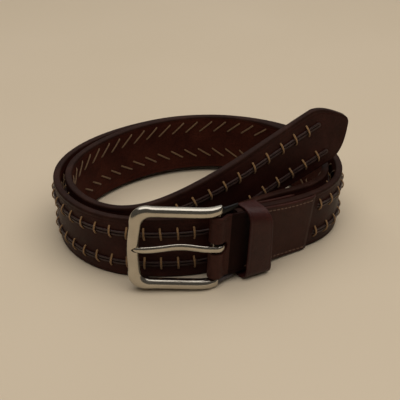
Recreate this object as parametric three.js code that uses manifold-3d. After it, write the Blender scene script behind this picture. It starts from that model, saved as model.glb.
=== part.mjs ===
// A corded leather belt with a pronged buckle, unfastened and rolled up, standing on its lower edge.
// Millimetres, +Z up. Each mesh is one closed body.
import * as THREE from "three";
import { mergeVertices } from "three/addons/utils/BufferGeometryUtils.js";
import Module from "manifold-3d";

const wasm = await Module();
wasm.setup();

// Strap
const STRAP_WIDTH = 35;
const STRAP_THICKNESS = 3.8;
const EDGE_BEVEL = 0.5;
const RING_SPACING = 5;
const STRAP_START = 10.8;
const TIP_LENGTH = 19;
const TIP_FULLNESS = 0.93;
const TIP_RING_DISTANCES = [14, 10, 7, 4.5, 2.5, 1.1, 0.35];

// Prong holes, measured back from the tip
const HOLE_COUNT = 5;
const HOLE_PITCH = 22;
const FIRST_HOLE = 110;
const HOLE_RADIUS = 2.3;
const HOLE_SIDES = 16;

// Cord rows on the outer face
const ROW_HEIGHT = 8.75;
const CORD_DIAMETER = 1.4;
const CORD_RISE = 1.1;
const CORD_VALLEY = 0.55;
const CORD_START = 68;
const CORD_END_TO_TIP = 17.4;

// Clearance left between pieces that lie on each other
const GAP = 0.25;

// Chape, the folded leather that holds the buckle
const CHAPE_THICKNESS = 1.6;
const CHAPE_BEVEL = 0.3;
const CHAPE_OUTER_LENGTH = 61.2;
const CHAPE_INNER_LENGTH = 50;
const CHAPE_STEP = 4.5;
const LOOP_PLAY = 0.4;
const LOOP_STEPS = 12;
const LOOP_OPENING = 60;
const NECK_START = 5.2;
const NECK_END = 9.6;
const NECK_GAP = 0.3;
const SLOT_HEIGHT = 6.6;
const SLOT_REACH = 5.4;

// Keeper loop. Its front stands off to let the strap's tip in, and it hangs a little below the strap.
const KEEPER_POSITION = 21.5;
const KEEPER_WIDTH = 13.2;
const KEEPER_THICKNESS = 1.2;
const KEEPER_TOP_PLAY = 0.25;
const KEEPER_NEAR_END = { front: 8.3, bottomPlay: 3, slant: 0.04 };
const KEEPER_FAR_END = { front: 11.4, bottomPlay: 1, slant: 0.19 };
const KEEPER_TOP_RADIUS = 5.6;
const KEEPER_BOTTOM_RADIUS = 4.4;
const KEEPER_BACK_RADIUS = 2;
const KEEPER_BACK_GAP = 0.3;
const KEEPER_CORNER_STEPS = 5;
const KEEPER_SHARES = [0, 0.33, 0.67, 1];

// Buckle, with its heel bar as the hinge axis
const BUCKLE_HEIGHT = 46.3;
const ARM_HEIGHT = 4.9;
const FRAME_DEPTH = 5.6;
const FAR_BAR_REACH = 40.6;
const FAR_BAR_DEPTH = 4.2;
const FAR_BAR_WIDTH = 6.2;
const FAR_BAR_BOW = 1;
const FAR_BAR_STEPS = 5;
const CORNER_RADIUS = 5.8;
const CORNER_FULLNESS = 1.4;
const CORNER_STEPS = 5;
const HEEL_BAR_RADIUS = 2.1;
const HEEL_BAR_SIDES = 16;
const SECTION_SIDES = 12;
const SQUARENESS = 0.6;

// Prong, and the notch in the far bar that its end rests in
const PRONG_HEIGHT = 3.4;
const PRONG_DEPTH = 2.2;
const PRONG_EYE_START = -45;
const PRONG_EYE_END = -272;
const PRONG_EYE_STEPS = 10;
const PRONG_PLAY = 0.25;
const NOTCH_HEIGHT = 4.2;
const NOTCH_FLOOR = 5.3;
const NOTCH_END = 42.2;

// The strap's route seen from above: its centre line in plan, how far its lower edge is raised,
// and how far its upper edge leans outward, in degrees. It starts on the heel bar's axis.
const ROUTE = [
  { x: 8.1, y: -88.4, lift: 5.8, lean: 0 },
  { x: 17.8, y: -81, lift: 5.1, lean: 0 },
  { x: 28.7, y: -73, lift: 3.5, lean: 4.5 },
  { x: 40, y: -64.7, lift: 1.6, lean: 8 },
  { x: 52.5, y: -56.4, lift: 0.5, lean: 8 },
  { x: 64.4, y: -48, lift: 0, lean: 6 },
  { x: 73.8, y: -36.8, lift: 0, lean: 4 },
  { x: 77.8, y: -22, lift: 0, lean: 2 },
  { x: 77, y: -6.5, lift: 0, lean: 0 },
  { x: 71.2, y: 9.5, lift: 0, lean: 0 },
  { x: 60.5, y: 23.8, lift: 0, lean: 0 },
  { x: 45, y: 35.3, lift: 0, lean: 0 },
  { x: 26, y: 43.2, lift: 0, lean: 0 },
  { x: 5, y: 46, lift: 0, lean: 0 },
  { x: -17, y: 43, lift: 0, lean: 0 },
  { x: -37, y: 33.5, lift: 0, lean: 0 },
  { x: -54.5, y: 20.6, lift: 0, lean: 1 },
  { x: -68.7, y: 4.3, lift: 0, lean: 2 },
  { x: -77.1, y: -13.8, lift: 0, lean: 3 },
  { x: -79, y: -33, lift: 0, lean: 3 },
  { x: -73.3, y: -52.2, lift: 0, lean: 3 },
  { x: -61.2, y: -68.2, lift: 0, lean: 3 },
  { x: -45, y: -78.2, lift: 0, lean: 2 },
  { x: -27, y: -80.5, lift: 0, lean: 0 },
  { x: -9, y: -79.8, lift: 0, lean: 0 },
  { x: 7, y: -76, lift: 0, lean: 0 },
  { x: 21.6, y: -64.6, lift: 0, lean: 1 },
  { x: 37.3, y: -53.7, lift: 0, lean: 2 },
  { x: 52.7, y: -46.5, lift: 0, lean: 3 },
  { x: 64.6, y: -38.2, lift: 0, lean: 3 },
  { x: 70.2, y: -25.2, lift: 0, lean: 1 },
  { x: 70.2, y: -10.5, lift: 0.1, lean: 0 },
  { x: 65.2, y: 5.3, lift: 0.5, lean: 0 },
  { x: 54.5, y: 19.6, lift: 1.5, lean: 0 },
  { x: 39.5, y: 31.2, lift: 2.5, lean: 0 },
  { x: 21, y: 38, lift: 2.9, lean: 0 },
  { x: 2, y: 39.4, lift: 2.9, lean: 0 },
  { x: -18, y: 35.4, lift: 2.7, lean: 0 },
  { x: -36, y: 26, lift: 2.5, lean: 0 },
  { x: -51.2, y: 13.8, lift: 2.1, lean: 0 },
  { x: -64, y: -1.8, lift: 1.5, lean: 1 },
  { x: -71.4, y: -18.5, lift: 0.9, lean: 3 },
  { x: -72, y: -36, lift: 0.7, lean: 3 },
  { x: -65.8, y: -52, lift: 0.7, lean: 3 },
  { x: -55.1, y: -64.4, lift: 0.7, lean: 3 },
  { x: -41.8, y: -71.8, lift: 1.5, lean: 4 },
  { x: -27.2, y: -73.6, lift: 4.1, lean: 5 },
  { x: -11.9, y: -70.1, lift: 8.8, lean: 6 },
  { x: 4, y: -62.8, lift: 14.4, lean: 6 },
  { x: 20.3, y: -53.1, lift: 20, lean: 5 },
  { x: 36.3, y: -42.3, lift: 25.7, lean: 1 },
  { x: 51.8, y: -32.2, lift: 31.2, lean: -1 },
  { x: 66.3, y: -24.7, lift: 37.4, lean: -1 },
  { x: 80.1, y: -19.2, lift: 45.4, lean: 4 },
];

// One arm of the buckle from the end of its ear to the corner: reach from the heel bar toward the far
// bar, depth toward the front, the section's height and depth, and how far it is set in from the arm's
// outer side.
const ARM_PROFILE = [
  { reach: -10, depth: -5.2, tall: 2.4, deep: 2.2, inset: 2 },
  { reach: -9.3, depth: -4.7, tall: 3.2, deep: 3, inset: 1.6 },
  { reach: -2.1, depth: -0.2, tall: 3.2, deep: 3.2, inset: 1.6 },
  { reach: -2, depth: -0.7, tall: 4.4, deep: 4.6, inset: 0.2 },
  { reach: -1.4, depth: -0.2, tall: 4.8, deep: 5.4, inset: 0 },
  { reach: 0, depth: 0.6, tall: 4.9, deep: 6, inset: 0 },
  { reach: 2.5, depth: 2.1, tall: 4.9, deep: 6, inset: 0 },
  { reach: 5, depth: 3, tall: 4.9, deep: 5.8, inset: 0 },
  { reach: 9, depth: 3.5, tall: 4.9, deep: 5.6, inset: 0 },
  { reach: 16, depth: 3.7, tall: 4.9, deep: 5.6, inset: 0 },
  { reach: 26, depth: 3.9, tall: 4.9, deep: 5.6, inset: 0 },
  { reach: 34.8, depth: 4.2, tall: 4.9, deep: 5.6, inset: 0 },
];

// The prong from its eye to its point, in the same directions as the buckle's arm.
const PRONG_SHANK = [
  { reach: 3.5, depth: 3.7, size: 1 },
  { reach: 7.2, depth: 3.5, size: 1 },
  { reach: 11.1, depth: 2.6, size: 1 },
  { reach: 14.3, depth: 2.2, size: 1.02 },
  { reach: 17.5, depth: 2.1, size: 1.03 },
  { reach: 20.5, depth: 2.6, size: 1.03 },
  { reach: 23.5, depth: 3.4, size: 1.02 },
  { reach: 28.7, depth: 5.3, size: 1 },
  { reach: 34, depth: 6.6, size: 1 },
  { reach: 38, depth: 6.9, size: 0.95 },
  { reach: 40.3, depth: 6.8, size: 0.7 },
  { reach: 41.4, depth: 6.7, size: 0.35 },
];

const ROUTE_SAMPLES = 6000;
const TANGENT_STEP = 0.5;

// Uniform cubic B-spline through the table's rows, with both ends extended straight on.
function splineRow(u) {
  const last = ROUTE.length - 1;
  const start = Math.min(Math.floor(u), last - 1);
  const t = u - start;
  const weights = [
    (1 - t) ** 3 / 6,
    (3 * t ** 3 - 6 * t ** 2 + 4) / 6,
    (-3 * t ** 3 + 3 * t ** 2 + 3 * t + 1) / 6,
    t ** 3 / 6,
  ];
  const row = (index, column) => {
    if (index < 0) return 2 * ROUTE[0][column] - ROUTE[1][column];
    if (index > last) return 2 * ROUTE[last][column] - ROUTE[last - 1][column];
    return ROUTE[index][column];
  };
  const blend = (column) =>
    weights.reduce((sum, weight, k) => sum + weight * row(start - 1 + k, column), 0);
  const lean = THREE.MathUtils.degToRad(blend("lean"));
  return { x: blend("x"), y: blend("y"), lift: blend("lift"), lean };
}

function sampleRoute() {
  const samples = [];
  for (let k = 0; k <= ROUTE_SAMPLES; k++) {
    const { x, y, lift, lean } = splineRow((k / ROUTE_SAMPLES) * (ROUTE.length - 1));
    const heightOverEdge = STRAP_WIDTH / 2 + (STRAP_THICKNESS / 2) * Math.abs(Math.sin(lean));
    const centre = new THREE.Vector3(x, y, lift + heightOverEdge);
    const before = samples[k - 1];
    const length = before ? before.length + centre.distanceTo(before.centre) : 0;
    samples.push({ centre, lean, length });
  }
  return samples;
}

const samples = sampleRoute();
const STRAP_END = samples.at(-1).length;

function routePoint(s) {
  const wanted = THREE.MathUtils.clamp(s, 0, STRAP_END);
  let low = 0;
  let high = samples.length - 1;
  while (high - low > 1) {
    const middle = (low + high) >> 1;
    if (samples[middle].length <= wanted) low = middle;
    else high = middle;
  }
  const share = (wanted - samples[low].length) / (samples[high].length - samples[low].length);
  const centre = samples[low].centre.clone().lerp(samples[high].centre, share);
  return { centre, lean: THREE.MathUtils.lerp(samples[low].lean, samples[high].lean, share) };
}

// The strap's directions at a distance s along it: along it, out of its outer face, and up its width.
function strapFrame(s) {
  const inside = THREE.MathUtils.clamp(s, TANGENT_STEP, STRAP_END - TANGENT_STEP);
  const { centre, lean } = routePoint(s);
  const ahead = routePoint(inside + TANGENT_STEP).centre;
  const behind = routePoint(inside - TANGENT_STEP).centre;
  const along = ahead.sub(behind).normalize();
  const level = new THREE.Vector3(along.y, -along.x, 0).normalize();
  const across = level.clone().cross(along);
  const out = level.clone().multiplyScalar(Math.cos(lean)).addScaledVector(across, -Math.sin(lean));
  const up = across.clone().multiplyScalar(Math.cos(lean)).addScaledVector(level, Math.sin(lean));
  return { centre, along, out, up };
}

// A point given by its distance along the strap, out of its face and up its width.
function strapPoint(s, out, up) {
  const frame = strapFrame(s);
  const beyond = Math.min(s, 0) + Math.max(s - STRAP_END, 0);
  return frame.centre
    .addScaledVector(frame.along, beyond)
    .addScaledVector(frame.out, out)
    .addScaledVector(frame.up, up);
}

// Joins rings of equal point count into one closed body, with both ends capped.
function loft(rings) {
  const count = rings[0].length;
  const positions = rings.flat().flatMap((point) => point.toArray());
  const indices = [];
  for (let ring = 0; ring < rings.length - 1; ring++) {
    for (let k = 0; k < count; k++) {
      const a = ring * count + k;
      const b = ring * count + ((k + 1) % count);
      indices.push(a, b, a + count, b, b + count, a + count);
    }
  }
  for (const ring of [0, rings.length - 1]) {
    const middle = positions.length / 3;
    const total = rings[ring].reduce((sum, point) => sum.add(point), new THREE.Vector3());
    positions.push(...total.divideScalar(count).toArray());
    for (let k = 0; k < count; k++) {
      const a = ring * count + k;
      const b = ring * count + ((k + 1) % count);
      if (ring === 0) indices.push(middle, b, a);
      else indices.push(middle, a, b);
    }
  }
  const geometry = new THREE.BufferGeometry();
  geometry.setAttribute("position", new THREE.Float32BufferAttribute(positions, 3));
  geometry.setIndex(indices);
  return facingOut(geometry);
}

function signedVolume(geometry) {
  const position = geometry.attributes.position;
  const index = geometry.index;
  const [a, b, c] = [new THREE.Vector3(), new THREE.Vector3(), new THREE.Vector3()];
  let volume = 0;
  for (let k = 0; k < index.count; k += 3) {
    a.fromBufferAttribute(position, index.getX(k));
    b.fromBufferAttribute(position, index.getX(k + 1));
    c.fromBufferAttribute(position, index.getX(k + 2));
    volume += a.dot(b.cross(c)) / 6;
  }
  return volume;
}

function facingOut(geometry) {
  if (signedVolume(geometry) < 0) {
    const index = geometry.index;
    for (let k = 0; k < index.count; k += 3) {
      const second = index.getX(k + 1);
      index.setX(k + 1, index.getX(k + 2));
      index.setX(k + 2, second);
    }
  }
  return geometry;
}

function toSolid(geometry) {
  const bare = geometry.clone();
  bare.deleteAttribute("normal");
  bare.deleteAttribute("uv");
  const merged = mergeVertices(bare, 1e-4);
  const vertProperties = Float32Array.from(merged.attributes.position.array);
  const triVerts = Uint32Array.from(merged.index.array);
  return new wasm.Manifold(new wasm.Mesh({ numProp: 3, vertProperties, triVerts }));
}

function toGeometry(solid) {
  const mesh = solid.getMesh();
  const geometry = new THREE.BufferGeometry();
  geometry.setAttribute("position", new THREE.BufferAttribute(Float32Array.from(mesh.vertProperties), 3));
  geometry.setIndex(new THREE.BufferAttribute(Uint32Array.from(mesh.triVerts), 1));
  return geometry;
}

// A flat band's section with bevelled edges, as pairs of out and up.
function bandSection(thickness, halfWidth, bevel) {
  const face = thickness / 2;
  const corners = [
    [face, halfWidth - bevel],
    [face - bevel, halfWidth],
    [bevel - face, halfWidth],
    [-face, halfWidth - bevel],
  ];
  return [...corners, ...corners.map(([out, up]) => [-out, -up])];
}

function halfWidthAt(distanceToTip) {
  if (distanceToTip >= TIP_LENGTH) return STRAP_WIDTH / 2;
  const closeness = 1 - distanceToTip / TIP_LENGTH;
  return (STRAP_WIDTH / 2) * (1 - closeness ** 2) ** TIP_FULLNESS;
}

function evenly(start, end, spacing) {
  const steps = Math.ceil((end - start) / spacing);
  return Array.from({ length: steps + 1 }, (_, k) => start + ((end - start) * k) / steps);
}

function holeCutter(s) {
  const ring = (out) =>
    Array.from({ length: HOLE_SIDES }, (_, k) => {
      const angle = (2 * Math.PI * k) / HOLE_SIDES;
      return strapPoint(s, out, 0)
        .addScaledVector(strapFrame(s).along, HOLE_RADIUS * Math.cos(angle))
        .addScaledVector(strapFrame(s).up, HOLE_RADIUS * Math.sin(angle));
    });
  return loft([ring(-STRAP_THICKNESS), ring(STRAP_THICKNESS)]);
}

function strapGeometry() {
  const straight = evenly(STRAP_START, STRAP_END - TIP_LENGTH, RING_SPACING);
  const rounded = TIP_RING_DISTANCES.map((distance) => STRAP_END - distance);
  const rings = [...straight, ...rounded].map((s) => {
    const section = bandSection(STRAP_THICKNESS, halfWidthAt(STRAP_END - s), EDGE_BEVEL);
    return section.map(([out, up]) => strapPoint(s, out, up));
  });
  let solid = toSolid(loft(rings));
  for (let k = 0; k < HOLE_COUNT; k++) {
    solid = solid.subtract(toSolid(holeCutter(STRAP_END - FIRST_HOLE - k * HOLE_PITCH)));
  }
  return toGeometry(solid);
}

// Two cords side by side on the outer face.
function cordRowGeometry(rowHeight) {
  const base = STRAP_THICKNESS / 2 + GAP;
  const section = [
    [base, -CORD_DIAMETER],
    [base + CORD_RISE, -CORD_DIAMETER / 2],
    [base + CORD_VALLEY, 0],
    [base + CORD_RISE, CORD_DIAMETER / 2],
    [base, CORD_DIAMETER],
  ];
  const distances = evenly(CORD_START, STRAP_END - CORD_END_TO_TIP, RING_SPACING);
  return loft(distances.map((s) => section.map(([out, up]) => strapPoint(s, out, rowHeight + up))));
}

// The chape's centre line as distances along the strap and out of it: the inner leg, pinched together
// behind the heel bar, the loop round the bar, and the outer leg.
function chapePath() {
  const legOut = STRAP_THICKNESS / 2 + GAP + CHAPE_THICKNESS / 2;
  const neckOut = (NECK_GAP + CHAPE_THICKNESS) / 2;
  const radius = HEEL_BAR_RADIUS + LOOP_PLAY + CHAPE_THICKNESS / 2;
  const opening = THREE.MathUtils.degToRad(LOOP_OPENING);
  const leg = (end) => evenly(NECK_END, end, CHAPE_STEP);
  const inner = leg(CHAPE_INNER_LENGTH).map((s) => [s, -legOut]);
  const outer = leg(CHAPE_OUTER_LENGTH).map((s) => [s, legOut]);
  const loop = Array.from({ length: LOOP_STEPS + 1 }, (_, k) => {
    const angle = -opening - ((2 * Math.PI - 2 * opening) * k) / LOOP_STEPS;
    return [radius * Math.cos(angle), radius * Math.sin(angle)];
  });
  return [...inner.reverse(), [NECK_START, -neckOut], ...loop, [NECK_START, neckOut], ...outer];
}

function chapeGeometry() {
  const path = chapePath();
  const section = bandSection(CHAPE_THICKNESS, STRAP_WIDTH / 2, CHAPE_BEVEL);
  const rings = path.map(([s, out], k) => {
    const [behindS, behindOut] = path[Math.max(k - 1, 0)];
    const [aheadS, aheadOut] = path[Math.min(k + 1, path.length - 1)];
    const length = Math.hypot(aheadS - behindS, aheadOut - behindOut);
    const normal = [-(aheadOut - behindOut) / length, (aheadS - behindS) / length];
    return section.map(([offset, up]) => strapPoint(s + normal[0] * offset, out + normal[1] * offset, up));
  });
  return toGeometry(toSolid(loft(rings)).subtract(toSolid(slotCutter())));
}

function slotCutter() {
  const half = SLOT_HEIGHT / 2;
  const reach = 2 * HEEL_BAR_RADIUS + CHAPE_THICKNESS;
  const ring = (s) => [
    strapPoint(s, reach, half),
    strapPoint(s, -reach, half),
    strapPoint(s, -reach, -half),
    strapPoint(s, reach, -half),
  ];
  return loft([ring(-reach), ring(0), ring(SLOT_REACH)]);
}

// The keeper's outline at one of its ends, set in by an inset, as pairs of out and up.
function keeperOutline(end, inset) {
  const right = end.front - inset;
  const left = -(STRAP_THICKNESS / 2 + GAP + CHAPE_THICKNESS + KEEPER_BACK_GAP + KEEPER_THICKNESS) + inset;
  const top = STRAP_WIDTH / 2 + KEEPER_TOP_PLAY + KEEPER_THICKNESS - inset;
  const bottom = -(STRAP_WIDTH / 2 + end.bottomPlay + KEEPER_THICKNESS) + inset;
  const topRadius = KEEPER_TOP_RADIUS - inset;
  const bottomRadius = KEEPER_BOTTOM_RADIUS - inset;
  const backRadius = KEEPER_BACK_RADIUS - inset;
  const corners = [
    { out: right - bottomRadius, up: bottom + bottomRadius, radius: bottomRadius, start: -Math.PI / 2 },
    { out: right - topRadius, up: top - topRadius, radius: topRadius, start: 0 },
    { out: left + backRadius, up: top - backRadius, radius: backRadius, start: Math.PI / 2 },
    { out: left + backRadius, up: bottom + backRadius, radius: backRadius, start: Math.PI },
  ];
  return corners.flatMap(({ out, up, radius, start }) =>
    Array.from({ length: KEEPER_CORNER_STEPS + 1 }, (_, k) => {
      const angle = start + (k / KEEPER_CORNER_STEPS) * (Math.PI / 2);
      return [out + radius * Math.cos(angle), up + radius * Math.sin(angle)];
    }));
}

// A ring of the keeper at a share of its width, 0 at its near end and 1 at its far end.
function keeperRing(share, inset) {
  const between = (name) => THREE.MathUtils.lerp(KEEPER_NEAR_END[name], KEEPER_FAR_END[name], share);
  const end = { front: between("front"), bottomPlay: between("bottomPlay") };
  const s = KEEPER_POSITION + (share - 0.5) * KEEPER_WIDTH;
  return keeperOutline(end, inset).map(([out, up]) => strapPoint(s - up * between("slant"), out, up));
}

function keeperGeometry() {
  const outer = loft(KEEPER_SHARES.map((share) => keeperRing(share, 0)));
  const beyond = 1 / KEEPER_WIDTH;
  const shares = [-beyond, ...KEEPER_SHARES, 1 + beyond];
  const hollow = loft(shares.map((share) => keeperRing(share, KEEPER_THICKNESS)));
  return toGeometry(toSolid(outer).subtract(toSolid(hollow)));
}

// Points of a section with rounded corners, for a given width across a path and depth.
function roundedSection(wide, deep) {
  return Array.from({ length: SECTION_SIDES }, (_, k) => {
    const angle = (2 * Math.PI * (k + 0.5)) / SECTION_SIDES;
    const rounded = (value) => Math.sign(value) * Math.abs(value) ** SQUARENESS;
    return [(wide / 2) * rounded(Math.cos(angle)), (deep / 2) * rounded(Math.sin(angle))];
  });
}

// The buckle's directions: up its heel bar, its reach to the left of the bar, and its depth toward
// the front.
const heel = strapFrame(0);
const reachDirection = new THREE.Vector3(-1, 0, 0).projectOnPlane(heel.up).normalize();
const depthDirection = heel.up.clone().cross(reachDirection);
function bucklePoint(reach, depth, height) {
  return heel.centre
    .clone()
    .addScaledVector(reachDirection, reach)
    .addScaledVector(depthDirection, depth)
    .addScaledVector(heel.up, height);
}

// The frame grows from an arm's width to the far bar's round each corner, and is fullest halfway.
function cornerWidth(heading) {
  const blend = THREE.MathUtils.lerp(ARM_HEIGHT, FAR_BAR_WIDTH, Math.sin(heading));
  return blend + CORNER_FULLNESS * Math.abs(Math.sin(2 * heading));
}

// The buckle's centre line: the lower arm from its ear, the far bar upward, then the upper arm to its ear.
// A row's heading is the line's direction: 0 toward the far bar, a quarter turn up it, and so on.
function framePath() {
  const quarter = Math.PI / 2;
  const half = BUCKLE_HEIGHT / 2;
  const armHeight = half - ARM_HEIGHT / 2;
  const lowerArm = ARM_PROFILE.map(({ reach, depth, tall, deep, inset }) =>
    ({ reach, depth, height: inset + tall / 2 - half, heading: 0, wide: tall, deep }));
  const upperArm = lowerArm.map((row) => ({ ...row, height: -row.height, heading: 2 * quarter })).reverse();
  const corner = (start, centreHeight) =>
    Array.from({ length: CORNER_STEPS }, (_, k) => {
      const heading = start + ((k + 0.5) / CORNER_STEPS) * quarter;
      return {
        reach: FAR_BAR_REACH - CORNER_RADIUS * (1 - Math.sin(heading)),
        depth: FAR_BAR_DEPTH,
        height: centreHeight - CORNER_RADIUS * Math.cos(heading),
        heading,
        wide: cornerWidth(heading),
        deep: FRAME_DEPTH,
      };
    });
  const barHalf = armHeight - CORNER_RADIUS;
  const farBar = Array.from({ length: FAR_BAR_STEPS }, (_, k) => {
    const share = (2 * k) / (FAR_BAR_STEPS - 1) - 1;
    const reach = FAR_BAR_REACH + FAR_BAR_BOW * (1 - share ** 2);
    const height = share * barHalf;
    const section = { wide: FAR_BAR_WIDTH, deep: FRAME_DEPTH };
    return { reach, depth: FAR_BAR_DEPTH, height, heading: quarter, ...section };
  });
  return [...lowerArm, ...corner(0, -barHalf), ...farBar, ...corner(quarter, barHalf), ...upperArm];
}

function heelBar() {
  const ring = (height) =>
    Array.from({ length: HEEL_BAR_SIDES }, (_, k) => {
      const angle = (2 * Math.PI * k) / HEEL_BAR_SIDES;
      return bucklePoint(HEEL_BAR_RADIUS * Math.cos(angle), HEEL_BAR_RADIUS * Math.sin(angle), height);
    });
  const half = (BUCKLE_HEIGHT - ARM_HEIGHT) / 2;
  return loft([ring(-half), ring(half)]);
}

function notchCutter() {
  const half = NOTCH_HEIGHT / 2;
  const ring = (reach) => [
    bucklePoint(reach, NOTCH_FLOOR, -half),
    bucklePoint(reach, NOTCH_FLOOR, half),
    bucklePoint(reach, NOTCH_FLOOR + FRAME_DEPTH, half),
    bucklePoint(reach, NOTCH_FLOOR + FRAME_DEPTH, -half),
  ];
  return loft([ring(FAR_BAR_REACH - FAR_BAR_WIDTH), ring(NOTCH_END)]);
}

function buckleFrameGeometry() {
  const rings = framePath().map(({ reach, depth, height, heading, wide, deep }) =>
    roundedSection(wide, deep).map(([offset, toFront]) => {
      const ringReach = reach - offset * Math.sin(heading);
      return bucklePoint(ringReach, depth + toFront, height + offset * Math.cos(heading));
    }));
  return toGeometry(toSolid(loft(rings)).add(toSolid(heelBar())).subtract(toSolid(notchCutter())));
}

// The prong wraps the heel bar with an open eye and rests in the far bar's notch.
function prongGeometry() {
  const eyeRadius = HEEL_BAR_RADIUS + PRONG_PLAY + PRONG_DEPTH / 2;
  const eye = Array.from({ length: PRONG_EYE_STEPS + 1 }, (_, k) => {
    const turn = THREE.MathUtils.lerp(PRONG_EYE_START, PRONG_EYE_END, k / PRONG_EYE_STEPS);
    const angle = THREE.MathUtils.degToRad(turn);
    return { reach: eyeRadius * Math.cos(angle), depth: eyeRadius * Math.sin(angle), size: 1 };
  });
  const path = [...eye, ...PRONG_SHANK];
  const rings = path.map(({ reach, depth, size }, k) => {
    const behind = path[Math.max(k - 1, 0)];
    const ahead = path[Math.min(k + 1, path.length - 1)];
    const length = Math.hypot(ahead.reach - behind.reach, ahead.depth - behind.depth);
    const normal = [-(ahead.depth - behind.depth) / length, (ahead.reach - behind.reach) / length];
    return roundedSection(size * PRONG_HEIGHT, size * PRONG_DEPTH).map(([up, offset]) =>
      bucklePoint(reach + normal[0] * offset, depth + normal[1] * offset, up));
  });
  return loft(rings);
}

const STRAP_LEATHER = { color: 0x2a1815, roughness: 0.5, metalness: 0 };
const CHAPE_LEATHER = { color: 0x3a2421, roughness: 0.45, metalness: 0 };
const CORD = { color: 0x251814, roughness: 0.55, metalness: 0 };
const SATIN_METAL = { color: 0xb9b2a4, roughness: 0.28, metalness: 1 };

function piece(name, geometry, look) {
  const mesh = new THREE.Mesh(geometry, new THREE.MeshStandardMaterial(look));
  mesh.name = name;
  return mesh;
}

const belt = new THREE.Group();
belt.add(
  piece("strap", strapGeometry(), STRAP_LEATHER),
  piece("upper_cords", cordRowGeometry(ROW_HEIGHT), CORD),
  piece("lower_cords", cordRowGeometry(-ROW_HEIGHT), CORD),
  piece("chape", chapeGeometry(), CHAPE_LEATHER),
  piece("keeper", keeperGeometry(), CHAPE_LEATHER),
  piece("buckle_frame", buckleFrameGeometry(), SATIN_METAL),
  piece("prong", prongGeometry(), SATIN_METAL),
);

// The origin is on the surface that the belt stands on, under the middle of its outline.
const middle = new THREE.Box3().setFromObject(belt).getCenter(new THREE.Vector3());
belt.position.set(-middle.x, -middle.y, 0);

export default belt;
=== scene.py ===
"""The looks of the corded leather belt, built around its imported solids.

Measures are in millimetres, but in metres in the materials and for the camera, the lights and the floor."""
import math

import bmesh
import bpy
import numpy as np
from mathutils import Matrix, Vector


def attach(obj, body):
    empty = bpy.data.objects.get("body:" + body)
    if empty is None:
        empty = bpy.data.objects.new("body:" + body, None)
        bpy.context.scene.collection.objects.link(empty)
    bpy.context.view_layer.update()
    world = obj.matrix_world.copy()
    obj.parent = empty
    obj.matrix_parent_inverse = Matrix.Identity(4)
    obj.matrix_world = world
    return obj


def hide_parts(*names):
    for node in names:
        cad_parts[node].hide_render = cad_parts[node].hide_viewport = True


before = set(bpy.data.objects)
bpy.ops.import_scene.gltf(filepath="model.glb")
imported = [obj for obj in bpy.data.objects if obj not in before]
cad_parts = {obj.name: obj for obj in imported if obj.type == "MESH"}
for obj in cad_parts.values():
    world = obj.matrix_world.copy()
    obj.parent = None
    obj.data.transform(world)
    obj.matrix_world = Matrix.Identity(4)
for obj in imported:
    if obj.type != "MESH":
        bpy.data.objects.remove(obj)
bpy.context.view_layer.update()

MM = 0.001
# What the part's source adds to the route's plan, to put the origin under the middle of the belt
PLAN_SHIFT = np.array([0.4564, 24.0057, 0.0])

# Strap
STRAP_WIDTH = 35
STRAP_THICKNESS = 3.8
STRAP_START = 10.8
TIP_LENGTH = 19
TIP_FULLNESS = 0.93
TIP_ROUNDING = 3.2
FACE = STRAP_THICKNESS / 2
CORNER = 0.9
FLAT_HALF = STRAP_WIDTH / 2 - 1.1
CREASE_HEIGHT = 15.1
CREASE_DEPTH = 0.16
CREASE_SPREAD = 0.3
# Heights of the points along half of the strap's face, closer together at the rows and the crease
FACE_POINTS = [
    1.8, 3.5, 4.75, 5.45, 6.15, 7.3, 8.75, 10.2, 11.35, 12.05, 12.75, 13.6, 14.3, 14.75, 15.1, 15.45, 16,
    FLAT_HALF,
]
RING_STEP = 1.6
# How far before the strap's end its last rings lie
TIP_RINGS = [*range(18, 6, -1), 5.9, 4.9, 4, 3.2, 2.5, 1.9, 1.4, 1, 0.7, 0.45, 0.25, 0.1]

# Prong holes
HOLE_COUNT = 5
HOLE_PITCH = 22
FIRST_HOLE = 110
HOLE_RADIUS = 2.3

# Cord rows and the thread whipped over them
ROW_HEIGHT = 8.75
CORD_START = 64.4
UPPER_CORD_END_TO_TIP = 17.4
LOWER_CORD_END_TO_TIP = 19
CORD_RADIUS = 0.58
CORD_SPREAD = 0.76
CORD_SUNK = 0.2
CORD_SWELL = 0.09
# At the chape the cords dive this deep into the strap, over this distance
CORD_DIVE = 1.5
CORD_DIVE_LENGTH = 1.6
CORD_SIDES = 8
HOLE_TO_ROW = 3.3
RINGS_PER_WRAP = 7
DIMPLE_DEPTH = 0.4
DIMPLE_RADIUS = 0.75
WRAP_UNEVENNESS = 0.22
WRAP_TILT = 0.35
SLANT_INSET = 0.45
LOWER_SLANT_SHARE = 0.8
THREAD_SIDES = 8
WRAP_SEED = 5
UPPER_TILT_SEED = 11
LOWER_TILT_SEED = 12
# Half width and half thickness of the flattened threads
WRAP_THREAD = (0.56, 0.38)
SLANT_THREAD = (0.5, 0.36)
SEAM_THREAD = (0.36, 0.26)

# Chape
CHAPE_THICKNESS = 1.6
CHAPE_OUTER_LENGTH = 61.2
CHAPE_INNER_LENGTH = 50
LOOP_PLAY = 0.4
LOOP_OPENING = 60
NECK_START = 5.2
NECK_END = 9.6
NECK_GAP = 0.3
GAP = 0.25
SLOT_HEIGHT = 6.6
SLOT_REACH = 5.4
CHAPE_CORNER = 0.55
CHAPE_POINTS = [-16.3, -15.6, -15.2, -14.8, -14, -10, -5, 0, 5, 10, 14, 14.8, 15.2, 15.6, 16.3]
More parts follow.
